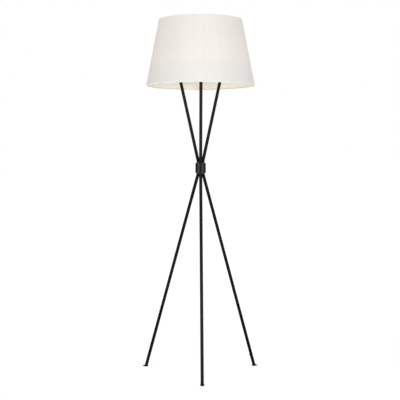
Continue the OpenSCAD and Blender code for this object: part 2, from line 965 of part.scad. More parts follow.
// One sheathed wire runs from the lampholder down the stem, out along the right arm, down the
// right rod, through the collar and down the right leg to the outlet bushing
module lamp_wire() {
    boss_bend = 8;
    knuckle_bend = 6;
    waist_bend = 12;
    outlet_bend = rod_bore / 2 - 2 * fit;
    knuckle_turn = 90 + rod_tilt;
    waist_turn = rod_tilt + leg_tilt;
    knuckle_run = knuckle_bend * tan(knuckle_turn / 2);
    waist_run = waist_bend * tan(waist_turn / 2);
    color("#5b554c")
        translate([0, 0, wire_top]) rotate(RIGHT) rotate([180, 0, 0])
            run([
                [wire_top - yoke_z - boss_bend, 90, boss_bend, 0],
                [yoke_r - boss_bend - knuckle_run, -knuckle_turn, knuckle_bend, 0],
                [rod_len - knuckle_run - waist_run, waist_turn, waist_bend, 0],
                [outlet_s - waist_run - outlet_bend, 90, outlet_bend, -90],
                [rod_d / 2 + bush_stand - outlet_bend, 0, 0, 0],
            ]) circle(d = wire_d);
}

// The two cores part at the wire's end, cross under the moulded body and rise to its terminals
module wire_cores() {
    end_r = core_d / 2 + hair;
    out = terminal_r + end_r + fit;
    path = [
        [core_d / 2 + fit, 0, wire_top + end_r + fit],
        [out, 0, shell_z - end_r],
        [out, 0, terminal_z - terminal_d / 2 - end_r - fit],
    ];
    color("#d9d2c0")
        for (side = [0, 180], i = [0, 1])
            rotate(side) bar(path[i], path[i + 1], core_d);
}

// A grommet in the back of the right leg, its flange hollowed to lie on the tube
module outlet_bushing() {
    color("#1d1c1b")
        down_leg(RIGHT) translate([0, 0, outlet_s])
            difference() {
                union() {
                    rotate([-90, 0, 0]) translate([0, 0, rod_bore / 2])
                        cylinder(d = outlet_d - 2 * fit, h = rod_wall + bush_stand);
                    difference() {
                        rotate([-90, 0, 0]) cylinder(d = bush_flange, h = rod_d / 2 + bush_stand);
                        translate([0, 0, -rod_d]) cylinder(d = rod_d + 2 * fit, h = 2 * rod_d);
                    }
                }
                rotate([-90, 0, 0]) cylinder(d = wire_d + 2 * fit, h = 2 * rod_d);
            }
}

on_axis() foot(FRONT);  // foot_front
on_axis() foot(RIGHT);  // foot_right
on_axis() foot(LEFT);  // foot_left
on_axis() glide(FRONT);  // glide_front
on_axis() glide(RIGHT);  // glide_right
on_axis() glide(LEFT);  // glide_left
on_axis() leg(FRONT);  // leg_front
on_axis() leg(RIGHT);  // leg_right
on_axis() leg(LEFT);  // leg_left
on_axis() leg_studs();
on_axis() collar();
on_axis() rod_studs();
on_axis() rod(FRONT);  // rod_front
on_axis() rod(RIGHT);  // rod_right
on_axis() rod(LEFT);  // rod_left
on_axis() bracket();
on_axis() bracket_screws();
on_axis() bracket_cover();
on_axis() nipple();
on_axis() toothed_washer();
on_axis() lock_nut();
on_axis() harp_saddle();
on_axis() harp();
on_axis() finial_stud();
on_axis() harp_ferrule(1);  // harp_ferrule_right
on_axis() harp_ferrule(-1);  // harp_ferrule_left
on_axis() holder_cap();
on_axis() cap_screw();
on_axis() holder_shell();
on_axis() holder_sleeve();
on_axis() holder_body();
on_axis() screw_shell();
on_axis() centre_contact();
on_axis() terminal_screws();
on_axis() switch_spindle();
on_axis() switch_knob();
on_axis() bulb_base();
on_axis() bulb_glass();
on_axis() bulb_filament();
on_axis() shade_linen();
on_axis() shade_liner();
on_axis() shade_spider();
on_axis() shade_top_ring();
on_axis() shade_bottom_ring();
on_axis() shade_top_hem();
on_axis() shade_bottom_hem();
on_axis() finial();
on_axis() lamp_wire();
on_axis() wire_cores();
on_axis() outlet_bushing();
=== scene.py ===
# %% [markdown]
# # A tripod floor lamp and its finishes
# The lamp's solid model already holds every true size. This lesson gives it its looks: real
# cloth on the shade, cast and drawn iron on the stand, plated wire and moulded plastic in the
# lampholder. Each cell is one small step, and prints what it made or measured.

import math

import bmesh
import bpy
from mathutils import Matrix, Vector, noise


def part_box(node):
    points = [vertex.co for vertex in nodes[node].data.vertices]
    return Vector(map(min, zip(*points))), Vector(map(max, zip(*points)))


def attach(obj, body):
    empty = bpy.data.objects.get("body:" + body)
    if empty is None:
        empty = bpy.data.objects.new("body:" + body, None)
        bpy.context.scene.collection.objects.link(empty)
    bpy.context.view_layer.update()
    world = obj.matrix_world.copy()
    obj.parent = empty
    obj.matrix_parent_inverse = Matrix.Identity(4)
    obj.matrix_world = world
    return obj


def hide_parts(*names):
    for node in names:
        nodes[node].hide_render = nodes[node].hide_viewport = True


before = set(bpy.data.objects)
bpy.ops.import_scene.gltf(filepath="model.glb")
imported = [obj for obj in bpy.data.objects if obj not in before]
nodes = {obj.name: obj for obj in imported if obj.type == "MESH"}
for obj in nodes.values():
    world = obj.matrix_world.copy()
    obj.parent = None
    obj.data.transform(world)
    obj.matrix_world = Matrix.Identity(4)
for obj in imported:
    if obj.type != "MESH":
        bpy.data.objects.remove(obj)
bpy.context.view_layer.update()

# %% [markdown]
# ## Where things are
# Everything below hangs on a few measures of the solid model: the upright axis, the height of
# the waist, and the two rims of the shade. Typed numbers would go wrong as soon as the model
# changes size, so they are read from the boxes of the nodes. All lengths are in metres.

# %% Measure the lamp's axis, waist and shade
collar_low, collar_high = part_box("collar")
AXIS_X, AXIS_Y, WAIST_Z = (collar_low + collar_high) / 2
linen_low, linen_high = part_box("shade_linen")
hem_low, hem_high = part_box("shade_bottom_hem")
top_hem_low, top_hem_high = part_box("shade_top_hem")
RING_HALF = 0.002


def ring_radius(node, z):
    """The outer radius of a node round the axis, in a thin ring at a height."""
    return max(
        math.hypot(v.co.x - AXIS_X, v.co.y - AXIS_Y)
        for v in nodes[node].data.vertices
        if abs(v.co.z - z) < RING_HALF
    )


LINEN_BOTTOM_R = ring_radius("shade_linen", linen_low.z)
LINEN_TOP_R = ring_radius("shade_linen", linen_high.z)
print(f"axis at x {AXIS_X:.4f}, y {AXIS_Y:.4f}; waist at {WAIST_Z:.4f} m")
print(f"linen radius {LINEN_BOTTOM_R:.4f} below, {LINEN_TOP_R:.4f} above")

# %% [markdown]
# ## The camera
# A short lens close by would spread the legs and bend the rims of the shade. A long lens a
# good distance away keeps them nearly as they are, so that way was chosen. The camera stands
# about as high as the waist, below the shade, so the shade's open underside just shows. It is
# turned a little round the lamp and tipped slightly down.

# %% Make the camera
DISTANCE = 4.588
CAMERA_Z = 0.9152
TURN = math.radians(1.17)
TIP = 0.0317
ROLL = -0.001
SIDE_STEP = 0.0028
LENS_MM, SENSOR_MM = 92.87, 36

cam_data = bpy.data.cameras.new("camera")
cam_data.lens = LENS_MM
cam_data.sensor_width = SENSOR_MM
camera = bpy.data.objects.new("camera", cam_data)
bpy.context.scene.collection.objects.link(camera)
camera.location = (
    AXIS_X - DISTANCE * math.sin(TURN) - SIDE_STEP * math.cos(TURN),
    AXIS_Y - DISTANCE * math.cos(TURN),
    CAMERA_Z,
)
aim = Matrix.Rotation(-TURN, 3, "Z") @ Matrix.Rotation(math.pi / 2 - TIP, 3, "X")
camera.rotation_euler = (aim @ Matrix.Rotation(ROLL, 3, "Z")).to_euler()
bpy.context.scene.camera = camera
print("camera at", tuple(round(c, 3) for c in camera.location))

# %% [markdown]
# ## The picture's tone
# Blender can bend the tones of a picture as film does. Here a colour should come out as it is
# written, so the plain Standard view is used.

# %% Set up the picture's tone
scene = bpy.context.scene
scene.view_settings.view_transform = "Standard"
print("view:", scene.view_settings.view_transform)

# %% [markdown]
# ## Shader maths as plain expressions
# Blender's materials are graphs of nodes. They could be wired one socket at a time, but
# arithmetic is easier to read. So a `Signal` wraps one output of a node and knows how to add,
# multiply and so on by adding Math nodes. A `Graph` holds the nodes of one material, or of the
# world, and its `node` method adds any other kind of node.


# %% Signals that can be added and multiplied
class Signal:
    """One output of a shader node. Arithmetic on it adds Math nodes."""

    def __init__(self, graph, socket):
        self.graph = graph
        self.socket = socket

    def math(self, operation, *values):
        inputs = dict(enumerate(values))
        return self.graph.node("ShaderNodeMath", {"operation": operation}, inputs)

    def __add__(self, other):
        return self.math("ADD", self, other)

    def __sub__(self, other):
        return self.math("SUBTRACT", self, other)

    def __rsub__(self, other):
        return self.math("SUBTRACT", other, self)

    def __mul__(self, other):
        return self.math("MULTIPLY", self, other)

    def __gt__(self, other):
        return self.math("GREATER_THAN", self, other)

    def __abs__(self):
        return self.math("ABSOLUTE", self)

    __radd__ = __add__
    __rmul__ = __mul__


print("signals are ready")


# %% A graph of nodes
class Graph:
    """A tree of shader nodes. `node` adds a node, and `feed` sets or links a socket."""

    def __init__(self, tree):
        self.tree = tree

    def node(self, kind, settings=None, inputs=None, output=0):
        """The settings come first, because they can change which sockets a node has."""
        made = self.tree.nodes.new(kind)
        for key, value in (settings or {}).items():
            setattr(made, key, value)
        for key, value in (inputs or {}).items():
            self.feed(made.inputs[key], value)
        return Signal(self, made.outputs[output])

    def feed(self, socket, value):
        if isinstance(value, Signal):
            self.tree.links.new(value.socket, socket)
        elif socket.type == "RGBA":
            socket.default_value = (*value, 1)
        else:
            socket.default_value = value

    def seen_in(self, *rays):
        """1 where the ray that arrives is one of these kinds, else 0."""
        outputs = self.node("ShaderNodeLightPath").socket.node.outputs
        either = Signal(self, outputs[rays[0]])
        for ray in rays[1:]:
            either = either.math("MAXIMUM", either, Signal(self, outputs[ray]))
        return either


print("graphs are ready")


# %% The finish that is made with a graph
OBJECT_OUTPUT, COLOUR_OUTPUT = 3, 2  # of a Texture Coordinate node and of a Mix node


class Finish(Graph):
    """A material. `mix` blends colours, and `bump` raises the surface."""

    def __init__(self, name, **fixed):
        self.material = bpy.data.materials.new(name)
        self.material.use_nodes = True
        super().__init__(self.material.node_tree)
        self.shader = self.tree.nodes["Principled BSDF"]
        for socket, value in fixed.items():
            self.set(socket.replace("_", " "), value)

    def set(self, socket, value):
        self.feed(self.shader.inputs[socket], value)

    def place(self):
        """Where a point of the surface is on the lamp, in metres."""
        return self.node("ShaderNodeTexCoord", output=OBJECT_OUTPUT)

    def split(self, vector):
        parts = self.node("ShaderNodeSeparateXYZ", inputs={0: vector})
        outputs = parts.socket.node.outputs
        return [Signal(self, outputs[i]) for i in range(3)]

    def join(self, x, y):
        return self.node("ShaderNodeCombineXYZ", inputs={0: x, 1: y})

    def grain(self, where, scale, detail, rough=0.5):
        """Soft noise, mostly from 0.3 to 0.7, with `scale` features per metre."""
        inputs = {"Vector": where, "Scale": scale, "Detail": detail, "Roughness": rough}
        return self.node("ShaderNodeTexNoise", inputs=inputs)

    def fade(self, value, low, high, to_low=0.0, to_high=1.0):
        """Runs smoothly from to_low to to_high as value runs from low to high."""
        return self.node(
            "ShaderNodeMapRange",
            {"interpolation_type": "SMOOTHSTEP"},
            {0: value, 1: low, 2: high, 3: to_low, 4: to_high},
        )

    def mix(self, amount, a, b):
        """Colour a where the amount is 0, and colour b where it is 1."""
        inputs = {0: amount, 6: a, 7: b}
        return self.node("ShaderNodeMix", {"data_type": "RGBA"}, inputs, COLOUR_OUTPUT)

    def bump(self, height, depth):
        """Raises the surface by height times depth, in metres."""
        inputs = {"Distance": depth, "Height": height}
        self.set("Normal", self.node("ShaderNodeBump", inputs=inputs))


print("finishes are ready")

# %% [markdown]
# ## Iron
# The stand is drawn steel tube, a turned collar and a cast bracket, all under a thin, almost
# black oil finish. One flat black would do for a toy, but then a round bar looks like a strip
# of paper. A real oil finish varies: a fine grain breaks up the highlights, and the film is
# thicker in some places. So each iron finish is two tones, clouded into each other by noise,
# and may take one more mark. The collar's rims are rubbed by hands. The rods are painted brown
# towards the top, a painted reflection of the shade's warm light. The legs are painted darker
# towards the feet, which is painted shade, and the side legs take a darker copy of the tones
# than the front leg, also painted shade.

# %% The tones of the iron
IRON = (0.0070, 0.0066, 0.0058)
IRON_WARM = (0.0125, 0.0090, 0.0066)
IRON_RUBBED = (0.045, 0.041, 0.036)
TUBE = (0.0088, 0.0086, 0.0077)
TUBE_WARM = (0.0118, 0.0109, 0.0092)
# the rods' painted reflection: brown near the top, from the shade's warm light
TUBE_PAINTED_REFLECTION = (0.0245, 0.0160, 0.0090)
# the side legs: a darker copy of the tube's tones, and a near black towards the feet, both
# painted shade
LEG = (0.0058, 0.0057, 0.0052)
LEG_WARM = (0.0074, 0.0071, 0.0063)
LEG_PAINTED_SHADE = (0.0004, 0.0004, 0.0004)
FILM_PATCHES = 38.0  # patches of thicker film per metre
PIT_SCALE, PIT_DEPTH = 0.45, 0.8  # against the grain's own scale and height
THICK_FILM, PITTED, WEAR_AND_PAINT_GRAIN = (0.45, 0.7), (0.60, 0.74), (0.3, 0.62)  # spans of noise
ROUGH_BY_GRAIN, ROUGH_BY_FILM, SMOOTHED_BY_WEAR_AND_PAINT = 0.22, 0.16, 0.12


def iron(name, grain, depth, roughness, ior, tones=(IRON, IRON_WARM), wear_and_painted_light=None):
    """Near-black iron in two tones. The last argument gives a mask and a colour: wear, painted
    shade or a painted reflection.
    """
    made = Finish(name, Metallic=0.0, IOR=ior)
    where = made.place()
    fine = made.grain(where, grain, 3.0, 0.6)
    film = made.grain(where, FILM_PATCHES, 3.0, 0.55)
    pits = made.fade(made.grain(where, grain * PIT_SCALE, 1.0), *PITTED)
    colour = made.mix(made.fade(film, *THICK_FILM), *tones)
    rough = roughness + (fine - 0.5) * ROUGH_BY_GRAIN + (film - 0.5) * ROUGH_BY_FILM
    if wear_and_painted_light:
        # the mark is real wear on the collar, painted shade on the legs, a painted reflection
        # on the rods
        mask, tone = wear_and_painted_light(made)
        patchy = mask * made.fade(fine, *WEAR_AND_PAINT_GRAIN)
        colour = made.mix(patchy, colour, tone)
        rough = rough - patchy * SMOOTHED_BY_WEAR_AND_PAINT
    made.set("Base Color", colour)
    made.set("Roughness", rough)
    made.bump(fine - pits * PIT_DEPTH, depth)
    return made.material


print("iron tones, darkest to palest:", LEG_PAINTED_SHADE[0], LEG[0], IRON[0], TUBE[0], IRON_RUBBED[0])

# %% How each iron part has aged, and its painted shade and reflection
RIM_BAND = 0.005
# the rods' painted reflection grows from this height up to the shade
WARM_REFLECTION_FROM, WARMEST_REFLECTION = WAIST_Z + 0.02, 1.3
# the legs' painted shade is full below one height and gone above the other; the front leg's is
# weaker and ends lower
SHADE_TOP, SHADE_FULL_BELOW = WAIST_Z - 0.15, 0.05
FRONT_SHADE_TOP, FRONT_SHADE_SHARE = 0.34, 0.65


def height_on(made):
    """How high a point of the surface is above the floor."""
    return made.split(made.place())[2]


def rim_wear(made):
    """The collar's two rims are rubbed to a warm grey."""
    half = (collar_high.z - collar_low.z) / 2
    off_waist = abs(height_on(made) - WAIST_Z)
    return made.fade(off_waist, half - RIM_BAND, half), IRON_RUBBED


def painted_warm_reflection(made):
    """Painted reflection: the rods are painted brown towards the top, for the shade's warm
    light.
    """
    return made.fade(height_on(made), WARM_REFLECTION_FROM, linen_low.z, 0.0, WARMEST_REFLECTION), TUBE_PAINTED_REFLECTION


def painted_leg_shade(made, top=SHADE_TOP, most=1.0):
    """Painted shade: the legs are painted darker towards the feet."""
    return made.fade(height_on(made), SHADE_FULL_BELOW, top, most, 0.0), LEG_PAINTED_SHADE


def painted_leg_shade_low(made):
    """Painted shade on the front leg: weaker, and ending lower."""
    return painted_leg_shade(made, FRONT_SHADE_TOP, FRONT_SHADE_SHARE)


tube_iron = iron("iron_tube", 1300.0, 0.00003, 0.40, 1.15, (TUBE, TUBE_WARM), painted_warm_reflection)
side_leg_iron_shaded = iron("iron_leg", 1300.0, 0.00003, 0.40, 1.13, (LEG, LEG_WARM), painted_leg_shade)
front_iron = iron("iron_front", 1300.0, 0.00003, 0.40, 1.15, (TUBE, TUBE_WARM), painted_leg_shade_low)
cast_iron = iron("iron_cast", 520.0, 0.00016, 0.36, 1.42, wear_and_painted_light=rim_wear)
foot_iron = iron("iron_foot", 700.0, 0.0001, 0.52, 1.2)
holder_iron = iron("iron_spun", 1600.0, 0.00002, 0.38, 1.45)
irons = (tube_iron, side_leg_iron_shaded, front_iron, cast_iron, foot_iron, holder_iron)
print("iron:", [finish.name for finish in irons])

# %% [markdown]
# ## Plated steel and brass
# The harp is nickel-plated wire, the nuts and screws are zinc-plated, and the threaded parts
# are brass. All are metals, so their colour is the colour of their reflections. A perfect
# mirror would look new and unreal, so fine drawing marks change the roughness, and a broad
# noise spreads a little dull tarnish.

# %% Finishes for the small metal parts
DRAW_MARKS, TARNISH_PATCHES = 2200.0, 120.0  # per metre
TARNISHED = (0.42, 0.72)  # the span of noise that is tarnish
MARK_DEPTH = 0.00001
ROUGH_BY_TARNISH, ROUGH_BY_MARKS = 0.14, 0.1


def metal(name, bright, dull, roughness):
    """Bare metal with fine drawing marks and patches of tarnish."""
    made = Finish(name, Metallic=1.0)
    where = made.place()
    marks = made.grain(where, DRAW_MARKS, 2.0, 0.6)
    tarnish = made.fade(made.grain(where, TARNISH_PATCHES, 4.0, 0.6), *TARNISHED)
    dulled = roughness + tarnish * ROUGH_BY_TARNISH
    made.set("Base Color", made.mix(tarnish, bright, dull))
    made.set("Roughness", dulled + (marks - 0.5) * ROUGH_BY_MARKS)
    made.bump(marks, MARK_DEPTH)
    return made.material


nickel = metal("nickel_plate", (0.56, 0.53, 0.49), (0.38, 0.35, 0.31), 0.26)
zinc = metal("zinc_plate", (0.60, 0.60, 0.59), (0.42, 0.42, 0.40), 0.34)
brass = metal("turned_brass", (0.76, 0.56, 0.27), (0.45, 0.32, 0.16), 0.28)
rolled_cap = metal("rolled_cap", (0.74, 0.74, 0.73), (0.55, 0.55, 0.54), 0.3)
print("metals:", nickel.name, zinc.name, brass.name, rolled_cap.name)

# %% [markdown]
# ## Plastics, rubber, lacquer and glass
# These aren't metals: a coloured body under a clear reflection. Each could have nodes of its
# own, but what tells them apart is only how rough they are and what their surface is like
# close up. So one function makes them all from two tones, a roughness and a grain.

# %% Finishes for everything moulded, dipped or blown
BODY_CLOUDS = 60.0  # per metre
CLOUDED = (0.4, 0.7)
ROUGH_BY_TEXTURE = 0.18


def moulded(name, colour, shade, roughness, grain=800.0, depth=0.00003, wear_and_painted_light=None, **fixed):
    """One colour clouded with another. The last argument gives a mask and the colour painted
    there: on the liner, painted shade.
    """
    made = Finish(name, Metallic=0.0, **fixed)
    where = made.place()
    fine = made.grain(where, grain, 3.0, 0.55)
    cloud = made.grain(where, BODY_CLOUDS, 3.0)
    body = made.mix(made.fade(cloud, *CLOUDED), colour, shade)
    if wear_and_painted_light:
        mask, tone = wear_and_painted_light(made)
        body = made.mix(mask, body, tone)
    made.set("Base Color", body)
    made.set("Roughness", roughness + (fine - 0.5) * ROUGH_BY_TEXTURE)
    made.bump(fine, depth)
    return made.material


rubber = moulded("rubber", (0.022, 0.022, 0.022), (0.03, 0.029, 0.027), 0.72)
phenolic = moulded("phenolic", (0.012, 0.011, 0.010), (0.02, 0.017, 0.014), 0.3)
fibre = moulded("fibre_card", (0.42, 0.29, 0.16), (0.34, 0.22, 0.12), 0.7, 1500.0)
lacquer = moulded("white_lacquer", (0.76, 0.74, 0.69), (0.70, 0.67, 0.61), 0.35)
sheath = moulded("cable_sheath", (0.06, 0.045, 0.035), (0.045, 0.034, 0.027), 0.5)
core = moulded("core_insulation", (0.66, 0.63, 0.56), (0.58, 0.54, 0.47), 0.5)
phosphor = moulded("filament_coat", (0.85, 0.68, 0.30), (0.78, 0.58, 0.22), 0.4)
glass = moulded(
    "opal_glass", (0.86, 0.86, 0.83), (0.82, 0.81, 0.78), 0.22, 300.0, 0.00002,
    Coat_Weight=0.5, Coat_Roughness=0.05,
)
moulds = (rubber, phenolic, fibre, lacquer, sheath, core, phosphor, glass)
print("moulded:", [finish.name for finish in moulds])

# %% [markdown]
# ## Linen and tape
# The shade is a laminate: cloth outside, a thin cream sheet of stiff plastic inside. Linen is
# a plain weave. Its threads could be modelled one by one, but over a thousand stand round the
# shade, so the surface is bumped instead. A warp thread and a weft thread cross at every cell,
# one on top and then the other, and the product of two cosines gives that pattern in one line:
# its size is how far a cell bulges, and its sign says which thread is on top.

# %% Coordinates that lie along the cloth, and the weave
THREAD = 0.00095
MEAN_R = (LINEN_BOTTOM_R + LINEN_TOP_R) / 2


def round_the_shade(made):
    """How far a point is along the cloth and up it, in metres."""
    x, y, z = made.split(made.place())
    angle = x.math("ARCTAN2", y - AXIS_Y, x - AXIS_X)
    return angle * MEAN_R, z


def weave(along, up, pitch):
    """The height of a plain weave from 0 to 1, and 1 where the warp is on top."""
    per_metre = math.pi / pitch
    crossing = along.math("COSINE", along * per_metre)
    rising = up.math("COSINE", up * per_metre)
    cell = crossing * rising
    return abs(cell), cell > 0


def streaks(made, along, up, across_scale, along_scale):
    """Noise that is stretched along one of the two families of threads."""
    return made.grain(made.join(along * across_scale, up * along_scale), 1.0, 3.0, 0.6)


print("threads round the shade:", round(math.tau * MEAN_R / THREAD))

# %% [markdown]
# ## The cloth's colour
# Real linen has slubs, thicker and darker lengths of thread, so each family of threads gets
# its own streaks. Wider streaks run up the cloth. Above the lowest third the cloth is painted
# warmer, a painted glow of the bulb's light through the liner. The tape is the same cloth in a
# finer weave. At the lower rim its outer face is painted darker, painted shade along the fold,
# and its back and its underside take a copy painted lighter, painted light on faces in shade.

# %% A finish for woven cloth
# the second colour is a painted glow, warmer cloth in the upper part of the shade
LINEN_PAINTED_GLOW = (0.848, 0.806, 0.747)
LINEN_COOL = (0.774, 0.767, 0.740)
LINEN_SLUB = (0.71, 0.675, 0.61)
SLUBS, STREAKS, BANDS = 14.0, (90.0, 2.0), (34.0, 1.2)  # per metre, across and along
SLUBBED, STREAKED, BANDED = (0.58, 0.80), (0.42, 0.7), (0.4, 0.7)  # spans of noise
SLUB_SHARE, STREAK_SHARE, BAND_SHARE = 0.55, 0.17, 0.08
# painted shade in the gaps between the threads
GAP_SPAN, GAP_SHARE = 0.35, 0.22  # the dim gaps between the threads
# the painted glow comes in between these shares of the shade's height
GLOW_FROM, GLOW_TO, GLOW_WAVE = 0.02, 0.34, 0.12  # shares of the shade's height
# painted shade along the fold edge of the lower rim
EDGE_SHADE_H, EDGE_SHADE_WAVE, EDGE_SHADE_SHARE = 0.0055, 0.002, 0.6
CLOTH_ROUGH, ROUGH_BY_SLUB = 0.78, 0.2
THREAD_BULGE, SLUB_BULGE = 0.7, 0.6


def cloth(name, low, high, slub_tone=LINEN_SLUB, pitch=THREAD, depth=0.00010, edge_shade=None):
    """Woven cloth that runs from one colour at the shade's foot to another above it."""
    made = Finish(name, Metallic=0.0, Sheen_Weight=0.25, Sheen_Roughness=0.5)
    along, up = round_the_shade(made)
    bulge, warp_on_top = weave(along, up, pitch)
    warp_slub = streaks(made, along, up, 0.5 / pitch, SLUBS)
    weft_slub = streaks(made, along, up, SLUBS, 0.5 / pitch)
    slub = warp_slub * warp_on_top + weft_slub * (1 - warp_on_top)
    broad = streaks(made, along, up, *STREAKS)
    band = streaks(made, along, up, *BANDS)
    height = made.fade(up, linen_low.z, linen_high.z)
    # painted glow: warmer above the lowest third, as the bulb's light through the liner
    painted_glow = made.fade(height + (broad - 0.5) * GLOW_WAVE, GLOW_FROM, GLOW_TO)
    colour = made.mix(painted_glow, low, high)
    threads = made.fade(slub, *SLUBBED) * SLUB_SHARE
    threads = threads + made.fade(broad, *STREAKED) * STREAK_SHARE
    threads = threads + made.fade(band, *BANDED) * BAND_SHARE
    colour = made.mix(threads, colour, slub_tone)
    # painted shade in the gaps between the threads
    gap = made.fade(bulge, 0.0, GAP_SPAN, GAP_SHARE, 0.0)
    colour = made.mix(gap, colour, slub_tone)
    # painted shade: the tape's outer face is darker at the lower rim's fold
    if edge_shade:
        wavy = up + (broad - 0.5) * EDGE_SHADE_WAVE
        painted_edge_shade = made.fade(wavy, hem_low.z, hem_low.z + EDGE_SHADE_H, EDGE_SHADE_SHARE, 0.0)
        colour = made.mix(painted_edge_shade, colour, edge_shade)
    made.set("Base Color", colour)
    made.set("Roughness", CLOTH_ROUGH + (slub - 0.5) * ROUGH_BY_SLUB)
    made.bump(bulge * (THREAD_BULGE + slub * SLUB_BULGE), depth)
    return made.material


linen = cloth("shade_linen", LINEN_COOL, LINEN_PAINTED_GLOW)
print(f"{linen.name}: a thread is {THREAD * 1000:.2f} mm wide")

# %% Two finishes for the tape: its face, and a copy painted lighter for its back and underside
TAPE_FACE = (0.790, 0.780, 0.742)
# the back and its slubs are painted lighter, for faces that lie in shade
TAPE_BACK_PAINTED_LIGHT = (0.940, 0.890, 0.775)
TAPE_BACK_SLUB_PAINTED_LIGHT = (0.905, 0.850, 0.730)
# painted shade for the lower rim's fold edge
TAPE_PAINTED_SHADE = (0.680, 0.661, 0.617)
TAPE_THREAD, TAPE_BUMP = THREAD * 0.8, 0.00008

tape = cloth(
    "hem_tape", TAPE_FACE, LINEN_PAINTED_GLOW, LINEN_SLUB, TAPE_THREAD, TAPE_BUMP, TAPE_PAINTED_SHADE
)
tape_back_painted_light = cloth("hem_tape_back", TAPE_BACK_PAINTED_LIGHT, TAPE_BACK_PAINTED_LIGHT, TAPE_BACK_SLUB_PAINTED_LIGHT, TAPE_THREAD, TAPE_BUMP)
print("tapes:", tape.name, tape_back_painted_light.name)

# %% [markdown]
# ## The liner
# The stiff sheet inside the cloth is cream plastic. It could take the cloth's finish, but it
# has no weave: it is smooth, slightly glossy and a little cloudy. Above its lowest few
# centimetres it is painted darker, painted shade as from the front rim, and the height of a
# point says how far.

# %% A finish for the liner
LINER = (0.875, 0.835, 0.768)
LINER_CLOUD = (0.855, 0.815, 0.742)
# the third tone is painted shade on the inner wall, above the lower rim
LINER_PAINTED_SHADE = (0.780, 0.740, 0.680)
LIT_UP_TO, SHADED_FROM = 0.014, 0.036  # above the lower rim


def painted_rim_shadow(made):
    """Painted shade: the liner is painted darker above the open rim, and stays paler near it.
    """
    rim = linen_low.z
    return made.fade(height_on(made), rim + LIT_UP_TO, rim + SHADED_FROM), LINER_PAINTED_SHADE


liner = moulded("styrene_liner", LINER, LINER_CLOUD, 0.42, 500.0, wear_and_painted_light=painted_rim_shadow)
print("liner:", liner.name)

# %% [markdown]
# ## Dressing the solid parts
# Most nodes already have their true shape. They could be rebuilt here, but that would only
# risk their fit, so they change their finish alone. Their meshes stay exactly as they are.

# %% Give every node its finish
dressing = {
    tube_iron: ["rod_front", "rod_right", "rod_left"],
    front_iron: ["leg_front"],
    side_leg_iron_shaded: ["leg_right", "leg_left"],
    cast_iron: ["collar", "bracket"],
    foot_iron: ["foot_front", "foot_right", "foot_left", "bracket_cover"],
    holder_iron: ["holder_cap", "holder_shell", "finial"],
    rubber: ["glide_front", "glide_right", "glide_left", "outlet_bushing"],
    zinc: ["leg_studs", "rod_studs", "bracket_screws", "toothed_washer", "lock_nut",
           "cap_screw", "switch_spindle"],
    nickel: ["harp", "harp_saddle", "harp_ferrule_right", "harp_ferrule_left"],
    brass: ["nipple", "finial_stud", "screw_shell", "centre_contact", "terminal_screws"],
    phenolic: ["holder_body", "switch_knob"],
    fibre: ["holder_sleeve"],
    lacquer: ["shade_spider", "shade_top_ring", "shade_bottom_ring"],
    liner: ["shade_liner"],
    linen: ["shade_linen"],
    tape: ["shade_top_hem", "shade_bottom_hem"],
    rolled_cap: ["bulb_base"],
    glass: ["bulb_glass"],
    phosphor: ["bulb_filament"],
    sheath: ["lamp_wire"],
    core: ["wire_cores"],
}
for finish, names in dressing.items():
    for name in names:
        slots = nodes[name].material_slots
        if not slots:
            nodes[name].data.materials.append(finish)
        for slot in slots:
            slot.material = finish
dressed = {name for names in dressing.values() for name in names}
print("nodes with a finish:", len(dressed), "left over:", sorted(set(nodes) - dressed))

# %% [markdown]
# ## From points to a piece
# Every shape below is built as a bmesh, a mesh that is made point by point. One helper turns
# it into an object. Shading it all smooth would blur its edges and flat shading would show
# its facets, so faces are smooth and only sharply folded edges stay crisp.

# %% Keep a finished mesh
CRISP = 0.7  # radians between two faces
ALL_SMOOTH = 3.0


def keep(mesh, name, finishes, crisp=CRISP):
    """Turns a bmesh into an object with smooth faces, and edges that stay crisp."""
    bmesh.ops.recalc_face_normals(mesh, faces=mesh.faces)
    for face in mesh.faces:
        face.smooth = True
    for edge in mesh.edges:
        edge.smooth = edge.calc_face_angle(0.0) < crisp
    made = bpy.data.meshes.new(name)
    mesh.to_mesh(made)
    mesh.free()
    for finish in finishes:
        made.materials.append(finish)
    piece = bpy.data.objects.new(name, made)
    bpy.context.scene.collection.objects.link(piece)
    return piece


print("edges folded over", round(math.degrees(CRISP)), "degrees stay crisp")

# %% [markdown]
# ## A strip that wraps round the axis
# Cloth on a shade is one strip whose end laps over its start in a seam at the back. A Spin
# tool would close it into a ring without a seam. So the helper sweeps the middle line of a
# section round the axis by hand and gives it a thickness. It runs a little more than once
# round, and the end has to climb over the start: `lift` says how far the strip stands off at
# an angle and at a point of its section.

# %% Build a wrapped strip
BACK = math.pi / 2  # the angle of the lamp's back


def outward(line):
    """The unit normals of a line of (radius, height) points, on the side of the room."""
    normals = []
    for i in range(len(line)):
        (r0, z0), (r1, z1) = line[max(i - 1, 0)], line[min(i + 1, len(line) - 1)]
        size = math.hypot(r1 - r0, z1 - z0)
        normals.append(((z1 - z0) / size, (r0 - r1) / size))
    return normals


